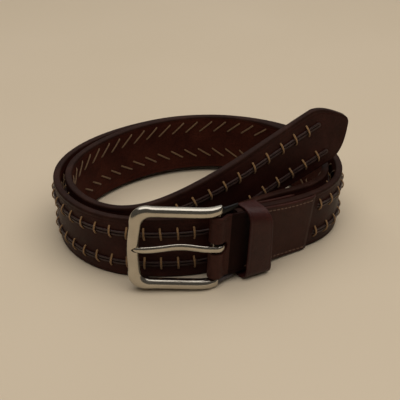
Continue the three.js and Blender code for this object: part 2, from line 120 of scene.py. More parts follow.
# The chape's ends are skived: over this length they thin to this share
SKIVED_LENGTH = 2.2
SKIVED_SHARE = 0.45
END_CREASE = 3.2
END_CREASE_DEPTH = 0.2
END_CREASE_SPREAD = 0.5
SEAM_HEIGHT = 15.2
SEAM_GROOVE = 0.16
SEAM_GROOVE_SPREAD = 0.35
SEAM_PITCH = 2.6
SEAM_START = 17.5
SEAM_END = 1.6
SEAM_SUNK = 0.1
# Where a stitch starts in its pitch, and the space that it leaves to the next one
STITCH_START = 0.3
STITCH_SPACE = 0.75
# A stitch's arc: share of its length and height over the leather
STITCH_ARC = [(0, -0.55), (0.12, 0), (0.5, 0.14), (0.88, 0), (1, -0.55)]
# Between its fold and the keeper the chape carries painted shade, for the shade that the keeper and the
# fold cast, between these distances along the strap
PAINTED_SHADE_PART = [6.5, 21]

# Keeper
KEEPER_POSITION = 21.5
KEEPER_WIDTH = 13.2
KEEPER_THICKNESS = 1.2
KEEPER_TOP_PLAY = 0.25
KEEPER_BACK_GAP = 0.3
KEEPER_NEAR_END = {"front": 8.3, "bottom_play": 3, "slant": 0.04}
KEEPER_FAR_END = {"front": 11.4, "bottom_play": 1, "slant": 0.19}
KEEPER_RADII = {"bottom_front": 4.8, "top_front": 7, "back": 2.4}
KEEPER_EDGE = 0.5
KEEPER_CREASE_DEPTH = 0.12
# As shares of the keeper's half width
KEEPER_CREASE_PLACE = 0.8
KEEPER_CREASE_SPREAD = 0.035
KEEPER_POINTS = [-0.93, -0.84, -0.8, -0.76, -0.6, -0.3, 0, 0.3, 0.6, 0.76, 0.8, 0.84, 0.93]
KEEPER_CORNER_POINTS = 14
KEEPER_OUTLINE_POINTS = 150

# Buckle and prong
BUCKLE_HEIGHT = 46.3
ARM_HEIGHT = 5.3
FRAME_DEPTH = 5.9
FAR_BAR_REACH = 40.6
FAR_BAR_DEPTH = 4.2
FAR_BAR_WIDTH = 6.2
FAR_BAR_BOW = 1
CORNER_RADIUS = 8.1
CORNER_FULLNESS = 1.3
CORNER_ROWS = 8
HEEL_BAR_RADIUS = 2.1
SQUARENESS = 0.88
FRAME_SIDES = 32
PRONG_SIDES = 20
PRONG_HEIGHT = 3.4
PRONG_DEPTH = 2.2
PRONG_PLAY = 0.25
PRONG_EYE_START = -45
PRONG_EYE_END = -272
NOTCH_HEIGHT = 4
NOTCH_FLOOR = 5.3
NOTCH_END = 42.2

# The strap's route from above, the same as in the part's source: plan x and y, how far its lower edge is
# raised, and how far its upper edge leans outward, in degrees.
ROUTE = [
    (8.1, -88.4, 5.8, 0), (17.8, -81, 5.1, 0), (28.7, -73, 3.5, 4.5), (40, -64.7, 1.6, 8),
    (52.5, -56.4, 0.5, 8), (64.4, -48, 0, 6), (73.8, -36.8, 0, 4), (77.8, -22, 0, 2),
    (77, -6.5, 0, 0), (71.2, 9.5, 0, 0), (60.5, 23.8, 0, 0), (45, 35.3, 0, 0),
    (26, 43.2, 0, 0), (5, 46, 0, 0), (-17, 43, 0, 0), (-37, 33.5, 0, 0),
    (-54.5, 20.6, 0, 1), (-68.7, 4.3, 0, 2), (-77.1, -13.8, 0, 3), (-79, -33, 0, 3),
    (-73.3, -52.2, 0, 3), (-61.2, -68.2, 0, 3), (-45, -78.2, 0, 2), (-27, -80.5, 0, 0),
    (-9, -79.8, 0, 0), (7, -76, 0, 0), (21.6, -64.6, 0, 1), (37.3, -53.7, 0, 2),
    (52.7, -46.5, 0, 3), (64.6, -38.2, 0, 3), (70.2, -25.2, 0, 1), (70.2, -10.5, 0.1, 0),
    (65.2, 5.3, 0.5, 0), (54.5, 19.6, 1.5, 0), (39.5, 31.2, 2.5, 0), (21, 38, 2.9, 0),
    (2, 39.4, 2.9, 0), (-18, 35.4, 2.7, 0), (-36, 26, 2.5, 0), (-51.2, 13.8, 2.1, 0),
    (-64, -1.8, 1.5, 1), (-71.4, -18.5, 0.9, 3), (-72, -36, 0.7, 3), (-65.8, -52, 0.7, 3),
    (-55.1, -64.4, 0.7, 3), (-41.8, -71.8, 1.5, 4), (-27.2, -73.6, 4.1, 5), (-11.9, -70.1, 8.8, 6),
    (4, -62.8, 14.4, 6), (20.3, -53.1, 20, 5), (36.3, -42.3, 25.7, 1), (51.8, -32.2, 31.2, -1),
    (66.3, -24.7, 37.4, -1), (80.1, -19.2, 45.4, 4),
]

# Which wrap of thread lies at which distance along the strap. The hand stitching isn't quite even.
WRAP_PLACES = [
    (0, 66.5), (2, 83.8), (32, 351), (37, 392.6), (42, 434.9), (61, 601.2),
    (66, 645), (71, 689.3), (76, 730.8), (88, 838.8), (91, 865.4), (95, 904.9), (96, 913.8),
]

# Toward the tip the lower row's wraps lie this much further along than the upper row's
LOWER_LAG = [(500, 0), (850, 2.4), (866, 3.4), (885, 2.7), (914, 0.5)]

# How far the rows lie below their even height, by distance along the strap
ROW_SAG = [(830, 0), (850, 1.2), (870, 1.35), (890, 0.8), (912, 0.5)]
LOWER_SAG_SHARE = 1.8
# How far the slanted threads lie above the rows' even height inside the coil's back
INNER_RISE = [(540, 0), (600, 2.1), (710, 2.3), (770, 0)]

# One arm of the buckle, a little fuller than in the part's source: reach, depth, height and depth of its
# section, set-in
ARM_PROFILE = [
    (-10, -7.4, 2, 2, 2), (-9.3, -6.8, 2.7, 2.6, 1.7), (-2.1, -0.2, 3, 3, 1.7), (-2, -0.7, 4.4, 4.6, 0.2),
    (-1.4, -0.2, 5, 5.6, 0), (0, 0.6, 5.3, 6.2, 0), (2.5, 2.1, 5.3, 6.2, 0), (5, 3, 5.3, 6, 0),
    (9, 3.5, 5.3, 5.9, 0), (16, 3.7, 5.3, 5.9, 0), (24, 3.9, 5.3, 5.9, 0), (32.5, 4.2, 5.3, 5.9, 0),
]

# The notch toward its end: distance before the end, share of its height, rise of its floor
NOTCH_SHAPE = [(8, 1, 0), (4, 1, 0), (2.6, 0.85, 0.15), (1.3, 0.6, 0.6), (0.4, 0.3, 1.1), (0, 0.1, 1.5)]

# Behind this reach the arms end in their plain ears
EAR_REACH = -2

# The prong's shank, with a finer point than in the part's source: reach, depth, size
PRONG_SHANK = [
    (3.5, 3.7, 1), (7.2, 3.5, 1), (11.1, 2.6, 1), (14.3, 2.2, 1.02), (17.5, 2.1, 1.03), (20.5, 2.6, 1.03),
    (23.5, 3.4, 1.02), (28.7, 5.3, 1), (34, 6.6, 1), (37.5, 6.9, 0.95), (39.6, 6.85, 0.74), (41, 6.8, 0.42),
    (41.4, 6.8, 0.15),
]

ROUND_SIDES = 32
ROUTE_SAMPLES = 6000
TANGENT_STEP = 0.5

# Camera, light and floor, in metres
CAMERA_PLACE = (0.000456, -0.4547, 0.2708)
CAMERA_TARGET = (0.000456, 0.024, 0)
CAMERA_LENS = 82.8
WORLD_COLOUR = (0.42, 0.38, 0.33, 1)
WORLD_STRENGTH = 0.21
LIGHT_COLOUR = (1, 0.97, 0.94)
FLOOR_REACH = 4

# Soft rectangular lights: name, place, target, size, power in watts, whether the belt mirrors it
LIGHTS = [
    ("overhead", (0, 0.32, 1.15), (0, 0.1, 0), (1.8, 1.05), 10, True),
    ("front", (0.18, -0.5, 1.1), (0.08, -0.1, 0), (1.8, 0.9), 9.8, False),
    ("back", (0, 1.3, 0.85), (0, 0, 0.03), (2.4, 0.7), 3, True),
]


def unit(vectors):
    return vectors / np.linalg.norm(vectors, axis=-1, keepdims=True)


def b_spline(table, u):
    """Rows of a table blended by a uniform cubic B-spline, with both ends extended straight on."""
    table = np.asarray(table, float)
    last = len(table) - 1
    padded = np.vstack([2 * table[0] - table[1], table, 2 * table[last] - table[last - 1]])
    start = np.clip(u.astype(int), 0, last - 1)
    t = (u - start)[:, None]
    weights = [
        (1 - t) ** 3 / 6,
        (3 * t**3 - 6 * t**2 + 4) / 6,
        (-3 * t**3 + 3 * t**2 + 3 * t + 1) / 6,
        t**3 / 6,
    ]
    return sum(weight * padded[start + k] for k, weight in enumerate(weights))


def finer(table, steps):
    """A table's rows blended smoothly, with that many steps from row to row."""
    last = len(table) - 1
    return b_spline(table, np.linspace(0, last, last * steps + 1))


samples = b_spline(ROUTE, np.linspace(0, len(ROUTE) - 1, ROUTE_SAMPLES + 1))
route_lean = np.radians(samples[:, 3])
route_centre = np.column_stack([
    samples[:, 0],
    samples[:, 1],
    samples[:, 2] + STRAP_WIDTH / 2 + FACE * np.abs(np.sin(route_lean)),
])
steps = np.linalg.norm(np.diff(route_centre, axis=0), axis=1)
route_length = np.concatenate([[0], np.cumsum(steps)])
STRAP_END = route_length[-1]


def route_point(s):
    return np.column_stack([np.interp(s, route_length, route_centre[:, k]) for k in range(3)])


def strap_frames(s):
    """Centre and directions at distances s: along the strap, out of its outer face and up its width."""
    inside = np.clip(s, TANGENT_STEP, STRAP_END - TANGENT_STEP)
    along = unit(route_point(inside + TANGENT_STEP) - route_point(inside - TANGENT_STEP))
    lean = np.interp(s, route_length, route_lean)[:, None]
    level = unit(np.column_stack([along[:, 1], -along[:, 0], np.zeros(len(s))]))
    across = np.cross(level, along)
    out = level * np.cos(lean) - across * np.sin(lean)
    up = across * np.cos(lean) + level * np.sin(lean)
    beyond = np.minimum(s, 0) + np.maximum(s - STRAP_END, 0)
    centre = route_point(np.clip(s, 0, STRAP_END)) + along * beyond[:, None] + PLAN_SHIFT
    return centre, along, out, up


def on_strap(s, out, up):
    """Points at distances along the strap, out of its face and up its width, for arrays of any shape."""
    s, out, up = np.broadcast_arrays(np.asarray(s, float), np.asarray(out, float), np.asarray(up, float))
    centre, _, outward, upward = strap_frames(s.ravel())
    points = centre + outward * out.ravel()[:, None] + upward * up.ravel()[:, None]
    return points.reshape(s.shape + (3,))


def wrap_distances():
    index, place = np.array(WRAP_PLACES, float).T
    even = np.interp(np.arange(index[-1] + 1), index, place)
    rng = np.random.default_rng(WRAP_SEED)
    return even + rng.uniform(-WRAP_UNEVENNESS, WRAP_UNEVENNESS, len(even))


upper_wraps = wrap_distances()
lower_wraps = upper_wraps + np.interp(upper_wraps, *np.array(LOWER_LAG, float).T)


def row_height(row, s):
    """A row's height on the strap at distances s. Both rows sag a little where the strap rises."""
    share = 1 if row > 0 else LOWER_SAG_SHARE
    return row - share * np.interp(s, *np.array(ROW_SAG, float).T)


def bell(distance, spread):
    """A soft dent's share of its full depth, at a distance from its middle."""
    return np.exp(-((distance / spread) ** 2))


def loft(rings, closed_path=False):
    """Points and faces of rings of equal point count, capped at both ends unless the path is closed."""
    rings = np.asarray(rings, float)
    count, around = rings.shape[:2]
    last = count if closed_path else count - 1
    ring = np.arange(last)[:, None]
    place = np.arange(around)[None, :]
    following = (ring + 1) % count
    beside = (place + 1) % around
    faces = np.stack([
        ring * around + place,
        ring * around + beside,
        following * around + beside,
        following * around + place,
    ], axis=-1).reshape(-1, 4).tolist()
    if not closed_path:
        faces.append(list(range(around))[::-1])
        faces.append(list(range((count - 1) * around, count * around)))
    return rings.reshape(-1, 3), faces


def joined(parts):
    """Several pairs of points and faces as one pair."""
    points, faces, start = [], [], 0
    for some_points, some_faces in parts:
        points.append(some_points)
        faces.extend([[k + start for k in face] for face in some_faces])
        start += len(some_points)
    return np.vstack(points), faces


def raw_object(name, points, faces):
    mesh = bpy.data.meshes.new(name)
    mesh.from_pydata((np.asarray(points) * MM).tolist(), [], faces)
    shape = bmesh.new()
    shape.from_mesh(mesh)
    bmesh.ops.recalc_face_normals(shape, faces=shape.faces)
    shape.to_mesh(mesh)
    shape.free()
    thing = bpy.data.objects.new(name, mesh)
    bpy.context.scene.collection.objects.link(thing)
    return thing


def apply_boolean(thing, cutters, operation="DIFFERENCE"):
    """Cuts solids out of a piece, or joins them to it, and removes them."""
    for cutter in cutters:
        modifier = thing.modifiers.new("cut", "BOOLEAN")
        modifier.operation = operation
        modifier.solver = "EXACT"
        modifier.object = cutter
    depsgraph = bpy.context.evaluated_depsgraph_get()
    made = bpy.data.meshes.new_from_object(thing.evaluated_get(depsgraph))
    thing.modifiers.clear()
    old = thing.data
    thing.data = made
    bpy.data.meshes.remove(old)
    for cutter in cutters:
        bpy.data.objects.remove(cutter)


def set_materials(thing, *materials):
    thing.data.materials.clear()
    for material in materials:
        thing.data.materials.append(material)


def finish_piece(thing, body, nodes, sharp_angle):
    """Gives a piece smooth faces with sharp edges, attaches it to its body and hides the nodes that it
    stands for.
    """
    thing.data.shade_smooth()
    thing.data.set_sharp_from_angle(angle=math.radians(sharp_angle))
    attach(thing, body)
    if nodes:
        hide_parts(*nodes)


def tubes(paths, side, wide, thin, around):
    """Many tubes at once. Paths and side directions are arrays of tube, point and coordinate."""
    along = unit(np.gradient(paths, axis=1))
    side = unit(side - along * np.sum(side * along, axis=-1, keepdims=True))
    other = np.cross(along, side)
    angle = 2 * np.pi * np.arange(around) / around
    rings = (
        paths[:, :, None]
        + side[:, :, None] * (wide * np.cos(angle))[None, None, :, None]
        + other[:, :, None] * (thin * np.sin(angle))[None, None, :, None]
    )
    return joined([loft(one) for one in rings])


def long_tube(path, radius, around):
    """One tube along a path, with no twist from point to point."""
    along = unit(np.gradient(path, axis=0))
    side = np.empty_like(path)
    side[0] = unit(np.cross(along[0], [0.0, 0.0, 1.0]))
    for k in range(1, len(path)):
        carried = side[k - 1] - along[k] * np.dot(side[k - 1], along[k])
        side[k] = carried / np.linalg.norm(carried)
    other = np.cross(along, side)
    angle = 2 * np.pi * np.arange(around) / around
    rings = (
        path[:, None]
        + side[:, None] * (radius * np.cos(angle))[None, :, None]
        + other[:, None] * (radius * np.sin(angle))[None, :, None]
    )
    return loft(rings)


# Materials

def linear(red, green, blue):
    """A screen colour, 0 to 255, as the shader's linear colour."""
    def channel(value):
        value /= 255
        return value / 12.92 if value <= 0.04045 else ((value + 0.055) / 1.055) ** 2.4
    return (channel(red), channel(green), channel(blue), 1)


class Nodes:
    """A short way to make and link a material's nodes."""

    def __init__(self, name):
        self.material = bpy.data.materials.new(name)
        self.material.use_nodes = True
        self.tree = self.material.node_tree
        self.shader = self.tree.nodes["Principled BSDF"]
        self.place = self.add("ShaderNodeTexCoord").outputs["Object"]

    def add(self, kind, inputs=(), **settings):
        node = self.tree.nodes.new(kind)
        for name, value in settings.items():
            setattr(node, name, value)
        for name, value in dict(inputs).items():
            if isinstance(value, bpy.types.NodeSocket):
                self.tree.links.new(value, node.inputs[name])
            else:
                node.inputs[name].default_value = value
        return node

    def noise(self, scale, detail=3, roughness=0.55, stretch=None):
        place = self.place
        if stretch:
            place = self.add("ShaderNodeMapping", {"Vector": place, "Scale": stretch}).outputs["Vector"]
        made = self.add("ShaderNodeTexNoise", {
            "Vector": place, "Scale": scale, "Detail": detail, "Roughness": roughness,
        })
        return made.outputs["Fac"]

    def cells(self, scale):
        inputs = {"Vector": self.place, "Scale": scale}
        return self.add("ShaderNodeTexVoronoi", inputs, feature="DISTANCE_TO_EDGE").outputs["Distance"]

    def ramp(self, value, stops):
        node = self.add("ShaderNodeValToRGB", {"Fac": value})
        elements = node.color_ramp.elements
        elements[0].position, elements[0].color = stops[0]
        elements[1].position, elements[1].color = stops[-1]
        for position, colour in stops[1:-1]:
            elements.new(position).color = colour
        return node.outputs["Color"]

    def mapped(self, value, low, high, end=1.0):
        """A value from 0 to an end, as one from low to high."""
        inputs = {"Value": value, "From Min": 0, "From Max": end, "To Min": low, "To Max": high}
        return self.add("ShaderNodeMapRange", inputs).outputs["Result"]

    def multiplied(self, first, second):
        node = self.add("ShaderNodeMix", data_type="RGBA", blend_type="MULTIPLY")
        node.inputs[0].default_value = 1
        self.tree.links.new(first, node.inputs[6])
        self.tree.links.new(second, node.inputs[7])
        return node.outputs[2]

    def bump(self, height, distance, strength, below=None):
        inputs = {"Height": height, "Distance": distance, "Strength": strength}
        if below is not None:
            inputs["Normal"] = below
        return self.add("ShaderNodeBump", inputs).outputs["Normal"]

    def link(self, value, socket):
        self.tree.links.new(value, self.shader.inputs[socket])

    def set(self, **values):
        for name, value in values.items():
            self.shader.inputs[name.replace("_", " ")].default_value = value


def leather(name, shades, roughness, shine, grain_scale=1500, grain=0.35):
    """Finished leather: mottled dye, fine pores, and slow unevenness in its surface."""
    nodes = Nodes(name)
    dark, middle, light = shades
    mottle = nodes.noise(55, 5, 0.6)
    colour = nodes.ramp(mottle, [(0.32, dark), (0.52, middle), (0.72, light)])
    speck = nodes.noise(900, 2, 0.5)
    fleck = nodes.ramp(speck, [(0.35, (0.72, 0.72, 0.72, 1)), (0.65, (1, 1, 1, 1))])
    nodes.link(nodes.multiplied(colour, fleck), "Base Color")
    nodes.link(nodes.mapped(nodes.noise(140, 3), roughness - 0.07, roughness + 0.09), "Roughness")
    pores = nodes.mapped(nodes.cells(grain_scale), 0, 1, end=0.12)
    normal = nodes.bump(nodes.noise(38, 2), 0.0012, 0.22)
    normal = nodes.bump(pores, 0.00012, grain, normal)
    normal = nodes.bump(nodes.noise(2600, 2), 0.00006, 0.5, normal)
    nodes.link(normal, "Normal")
    nodes.set(Specular_IOR_Level=shine)
    return nodes.material


def thread_material(name, dark, light):
    nodes = Nodes(name)
    fibre = nodes.noise(1700, 4, 0.7)
    nodes.link(nodes.ramp(fibre, [(0.3, dark), (0.7, light)]), "Base Color")
    nodes.link(nodes.bump(nodes.noise(2600, 3), 0.0002, 0.8), "Normal")
    nodes.set(Roughness=0.62, Specular_IOR_Level=0.4, Sheen_Weight=0.08)
    return nodes.material


def cord_material():
    nodes = Nodes("waxed cord")
    strands = nodes.noise(1300, 3, 0.6)
    dark, light = linear(32, 19, 17), linear(66, 46, 41)
    nodes.link(nodes.ramp(strands, [(0.3, dark), (0.75, light)]), "Base Color")
    nodes.link(nodes.bump(nodes.cells(1500), 0.0002, 0.6), "Normal")
    nodes.set(Roughness=0.3, Specular_IOR_Level=0.4)
    return nodes.material


def satin_metal():
    """Satin nickel: fine brushing and a slight unevenness in its polish."""
    nodes = Nodes("satin nickel")
    cloud = nodes.noise(90, 3)
    tint = nodes.ramp(cloud, [(0.3, (0.45, 0.415, 0.355, 1)), (0.7, (0.54, 0.50, 0.43, 1))])
    nodes.link(tint, "Base Color")
    brushed = nodes.noise(700, 2, 0.5, stretch=(1, 6, 6))
    nodes.link(nodes.mapped(brushed, 0.15, 0.22), "Roughness")
    nodes.link(nodes.bump(brushed, 0.00002, 0.5), "Normal")
    nodes.set(Metallic=1.0)
    return nodes.material


def dull_metal_with_painted_shade(name, dark, light):
    """The ears behind the heel bar: unpolished metal, with painted shade in its colour."""
    nodes = Nodes(name)
    cloud = nodes.noise(400, 3)
    nodes.link(nodes.ramp(cloud, [(0.3, dark), (0.7, light)]), "Base Color")
    nodes.link(nodes.bump(cloud, 0.00003, 0.4), "Normal")
    nodes.set(Metallic=0.5, Roughness=0.5)
    return nodes.material


def floor_material():
    nodes = Nodes("pale floor")
    shades = [(0.3, linear(193, 178, 154)), (0.7, linear(197, 182, 159))]
    nodes.link(nodes.ramp(nodes.noise(4, 2), shades), "Base Color")
    nodes.set(Roughness=0.75, Specular_IOR_Level=0.25)
    return nodes.material


outer_leather = leather(
    "dark brown leather", [linear(39, 17, 13), linear(48, 22, 17), linear(60, 30, 24)], 0.43, shine=0.1)
inner_leather = leather(
    "belt lining leather", [linear(48, 20, 14), linear(59, 26, 18), linear(69, 33, 23)], 0.6, shine=0.05,
    grain_scale=1100, grain=0.5)
edge_leather = leather(
    "burnished edge", [linear(32, 17, 13), linear(41, 23, 17), linear(54, 32, 25)], 0.55, shine=0.07,
    grain_scale=900, grain=0.15)
chape_leather = leather(
    "smooth brown leather", [linear(47, 24, 19), linear(56, 29, 23), linear(66, 37, 30)], 0.41, shine=0.1)
# Painted shade: a darker copy of the chape's leather, for its shaded part between the fold and the keeper
painted_shade_leather = leather(
    "brown leather with painted shade", [linear(21, 8, 6), linear(27, 11, 8), linear(34, 15, 11)], 0.5, shine=0.05)
keeper_leather = leather(
    "red brown leather", [linear(46, 19, 16), linear(56, 25, 21), linear(66, 32, 27)], 0.38, shine=0.22)
tan_thread = thread_material("tan waxed thread", linear(103, 76, 47), linear(152, 117, 78))
# Painted shade: a darker copy of the tan thread, for its slanted runs on the inner face
thread_with_painted_shade = thread_material("tan thread with painted shade", linear(80, 58, 38), linear(122, 94, 66))
seam_thread = thread_material("brown seam thread", linear(74, 50, 40), linear(116, 88, 70))
dark_cord = cord_material()
nickel = satin_metal()
# Unpolished metal with painted shade: the lower ear, grey in the shade under the chape
dull_nickel_with_painted_shade = dull_metal_with_painted_shade("dull nickel with painted shade", linear(66, 61, 65), linear(84, 78, 82))
# Painted shade: nearly black, for the upper ear in the shadow of the strap above
painted_shade_nickel = dull_metal_with_painted_shade("nickel with painted shade", linear(7, 6, 6), linear(13, 11, 11))


# Strap

# Kinds of the strap's surface, in the order of its materials
OUTER, EDGE, INNER = 0, 1, 2
# At its very tip the strap's flat part keeps this half width, and its thickness this share, squared
LEAST_HALF_WIDTH = 0.1
LEAST_THICKNESS = 0.02
# Where the strap is narrower than its width over this number, its rounded edges flatten
EDGE_FADE = 6


def half_width(distance_to_tip):
    """Half the strap's width near its tip: a pointed arch, blunt at its very end."""
    closeness = 1 - np.clip(distance_to_tip, 0, TIP_LENGTH) / TIP_LENGTH
    pointed = STRAP_WIDTH / 2 * (1 - closeness**2) ** TIP_FULLNESS
    blunt = np.sqrt(2 * TIP_ROUNDING * np.maximum(distance_to_tip, 0))
    blunt = blunt * np.exp(-distance_to_tip / TIP_ROUNDING)
    return np.minimum(np.hypot(pointed, blunt), STRAP_WIDTH / 2)


def fitted_to_wraps(wraps, end):
    """Distances of rings from the first wrap to an end, the same number to each wrap."""
    between = [np.linspace(a, b, RINGS_PER_WRAP, endpoint=False) for a, b in zip(wraps[:-1], wraps[1:])]
    return np.concatenate([*between, np.linspace(wraps[-1], end, RINGS_PER_WRAP)])


def strap_distances():
    """Where the strap's rings lie: even up to the cords, then fitted to the wraps, closer at the tip."""
    before = np.arange(STRAP_START, upper_wraps[0], RING_STEP)
    fitted = fitted_to_wraps(upper_wraps, STRAP_END - TIP_LENGTH)
    return np.concatenate([before, fitted, STRAP_END - np.array(TIP_RINGS, float)])


def edge_arc():
    """The rounded upper edge from the outer face to the inner one, as out and height over the flat part."""
    angle = np.radians([10, 35, 62, 90])
    rise = STRAP_WIDTH / 2 - FLAT_HALF
    outer = [(FACE - CORNER + CORNER * math.cos(a), rise - CORNER + CORNER * math.sin(a)) for a in angle]
    return outer + [(-out, up) for out, up in reversed(outer)]


def strap_section():
    """The strap's section, as out, height over the flat part, flat height and kind of surface."""
    heights = [-h for h in reversed(FACE_POINTS)] + [0] + FACE_POINTS
    arc = edge_arc()
    section = [(FACE, 0, h, OUTER) for h in heights]
    section += [(out, over, FLAT_HALF, EDGE) for out, over in arc]
    section += [(-FACE, 0, h, INNER) for h in reversed(heights)]
    section += [(out, -over, -FLAT_HALF, EDGE) for out, over in reversed(arc)]
    return np.array(section)


def hole_dimples(s, up):
    """How far the leather is drawn in around the thread's holes."""
    to_hole = np.full((len(s), len(up)), np.inf)
    for row, wraps in ((ROW_HEIGHT, upper_wraps), (-ROW_HEIGHT, lower_wraps)):
        nearest = np.abs(s[:, None] - wraps[None]).min(axis=1)[:, None]
        centre = row_height(row, s)[:, None]
        for side in (HOLE_TO_ROW, -HOLE_TO_ROW):
            to_hole = np.minimum(to_hole, np.hypot(nearest, up[None] - centre - side))
    return DIMPLE_DEPTH * bell(to_hole, DIMPLE_RADIUS)


def strap_piece():
    s = strap_distances()
    out, over, flat, kind = strap_section().T
    half = half_width(STRAP_END - s)[:, None]
    flat_share = np.maximum(half - (STRAP_WIDTH / 2 - FLAT_HALF), LEAST_HALF_WIDTH) / FLAT_HALF
    edge_share = np.minimum(1, half / (STRAP_WIDTH / 2) * EDGE_FADE)
    up = flat * flat_share + over * edge_share
    crease = CREASE_DEPTH * bell(np.abs(flat) - CREASE_HEIGHT, CREASE_SPREAD)
    drawn_in = (hole_dimples(s, flat) + crease) * (kind != EDGE)
    to_end = np.clip((STRAP_END - s) / CORNER, 0, 1)
    thinned = np.sqrt(np.maximum(1 - (1 - to_end) ** 2, LEAST_THICKNESS))[:, None]
    outs = (out - np.sign(out) * drawn_in) * thinned
    points, faces = loft(on_strap(s[:, None], outs, up))
    piece = raw_object("strap_leather", points, faces)
    set_materials(piece, outer_leather, edge_leather, inner_leather)
    # Faces between two kinds of surface count as the edge, and so do the two ends
    ring_kinds = np.where(kind == np.roll(kind, -1), kind, EDGE).astype(int)
    face_kinds = np.tile(ring_kinds, len(s) - 1).tolist() + [EDGE, EDGE]
    piece.data.polygons.foreach_set("material_index", face_kinds)
    cutters = [hole_cutter(STRAP_END - FIRST_HOLE - k * HOLE_PITCH) for k in range(HOLE_COUNT)]
    apply_boolean(piece, cutters)
    finish_piece(piece, "strap", ["strap"], 50)


def hole_cutter(s):
    angle = 2 * np.pi * np.arange(ROUND_SIDES) / ROUND_SIDES
    rings = [
        on_strap(s + HOLE_RADIUS * np.cos(angle), out, HOLE_RADIUS * np.sin(angle))
        for out in (-STRAP_THICKNESS, STRAP_THICKNESS)
    ]
    return raw_object("cutter", *loft(rings))


# Cords and thread

def cord_distances(wraps, end_to_tip):
    before = np.linspace(CORD_START, wraps[0], 5, endpoint=False)
    return np.concatenate([before, fitted_to_wraps(wraps, STRAP_END - end_to_tip)])


def cords_piece(name, row, wraps, end_to_tip, node):
    """A row's two cords are one cord, doubled back at the strap's tip. They swell between the wraps."""
    s = cord_distances(wraps, end_to_tip)
    phase = np.interp(s, wraps, np.arange(len(wraps)))
    swell = CORD_SWELL * (1 - np.cos(2 * np.pi * phase))
    spread = CORD_SPREAD + swell / 2
    sunk = np.interp(s, [CORD_START, CORD_START + CORD_DIVE_LENGTH], [CORD_DIVE, 0])
    out = FACE + CORD_RADIUS - CORD_SUNK + swell - sunk
    turn = np.linspace(np.pi / 2, -np.pi / 2, 9)[1:-1]
    end = len(s) - 1
    middle = row_height(row, s)
    path = np.vstack([
        on_strap(s, out, middle + spread),
        on_strap(s[end] + spread[end] * np.cos(turn), out[end], middle[end] + spread[end] * np.sin(turn)),
        on_strap(s[::-1], out[::-1], (middle - spread)[::-1]),
    ])
    piece = raw_object(name, *long_tube(path, CORD_RADIUS, CORD_SIDES))
    set_materials(piece, dark_cord)
    finish_piece(piece, "strap", [node], 80)


# A wrap's arc over the cords, as out and distance from the row's middle
WRAP_ARC = [
    (0.7, -3.45), (1.8, -3.38), (2.2, -3.05), (2.5, -2.5), (2.98, -1.85), (3.34, -1.1), (3.46, -0.35),
    (3.46, 0.35), (3.34, 1.1), (2.98, 1.85), (2.5, 2.5), (2.2, 3.05), (1.8, 3.38), (0.7, 3.45),
]
# The slanted thread on the inner face, as share of the way and distance in from the middle
SLANT_ARC = [
    (0, 0.9), (0.03, 1.75), (0.1, 2.12), (0.25, 2.22), (0.5, 2.26), (0.75, 2.22), (0.9, 2.12), (0.97, 1.75),
    (1, 0.9),
]


def stitches_piece(name, row, wraps, slant_rise):
    """The thread over the cords at each wrap, and its slanted run on the inner face to the next wrap."""
    away = math.copysign(1, row)
    out, offset = np.array(WRAP_ARC).T
    rng = np.random.default_rng(UPPER_TILT_SEED if row > 0 else LOWER_TILT_SEED)
    tilt = rng.uniform(-WRAP_TILT, WRAP_TILT, (len(wraps), 1))
    s = wraps[:, None] + tilt * (offset / HOLE_TO_ROW)
    middle = row_height(row, wraps)[:, None]
    over = on_strap(s, out, middle + offset)
    along = strap_frames(s.ravel())[1].reshape(over.shape)
    share, inward = np.array(SLANT_ARC).T
    start, end = wraps[:-1, None] + SLANT_INSET, wraps[1:, None] - SLANT_INSET
    slant_s = start + (end - start) * share
    lifted = np.interp(slant_s, *np.array(INNER_RISE, float).T)
    slant_up = middle[:-1] + lifted + away * slant_rise * (1 - 2 * share)
    under = on_strap(slant_s, -inward, slant_up)
    face_out = strap_frames(slant_s.ravel())[2].reshape(under.shape)
    run = np.repeat(unit(under[:, -1:] - under[:, :1]), len(share), axis=1)
    outer = tubes(over, along, *WRAP_THREAD, THREAD_SIDES)
    inner = tubes(under, np.cross(face_out, run), *SLANT_THREAD, THREAD_SIDES)
    piece = raw_object(name, *joined([outer, inner]))
    # The slanted runs on the inner face get the thread with painted shade
    set_materials(piece, tan_thread, thread_with_painted_shade)
    piece.data.polygons.foreach_set("material_index", [0] * len(outer[1]) + [1] * len(inner[1]))
    finish_piece(piece, "strap", [], 80)


# Chape and keeper

def chape_path():
    """The fold's centre line, finer than in the part's source: distances along the strap and out of it."""
    leg_out = FACE + GAP + CHAPE_THICKNESS / 2
    neck_out = (NECK_GAP + CHAPE_THICKNESS) / 2
    radius = HEEL_BAR_RADIUS + LOOP_PLAY + CHAPE_THICKNESS / 2
    opening = math.radians(LOOP_OPENING)
    inner = [(s, -leg_out) for s in np.linspace(CHAPE_INNER_LENGTH, NECK_END, 10)]
    outer = [(s, leg_out) for s in np.linspace(NECK_END, CHAPE_OUTER_LENGTH, 13)]
    turn = -opening - (2 * np.pi - 2 * opening) * np.arange(13) / 12
    loop = [(radius * math.cos(a), radius * math.sin(a)) for a in turn]
    return finer(inner + [(NECK_START, -neck_out)] + loop + [(NECK_START, neck_out)] + outer, 5)


def chape_section():
    """Out and up of the chape's section: rounded corners, and the seams' grooves in its outer side."""
    face = CHAPE_THICKNESS / 2
    half = STRAP_WIDTH / 2
    corner = CHAPE_CORNER
    angle = np.radians([0, 30, 60, 90])
    rounded = [(face - corner + corner * math.cos(a), half - corner + corner * math.sin(a)) for a in angle]
    heights = np.array(CHAPE_POINTS)
    outer = list(zip(face - SEAM_GROOVE * bell(np.abs(heights) - SEAM_HEIGHT, SEAM_GROOVE_SPREAD), heights))
    top = rounded + [(-out, up) for out, up in reversed(rounded)]
    inner = [(-face, h) for h in heights[::-1]]
    bottom = [(-out, -up) for out, up in top]
    return np.array(outer + top + inner + bottom)


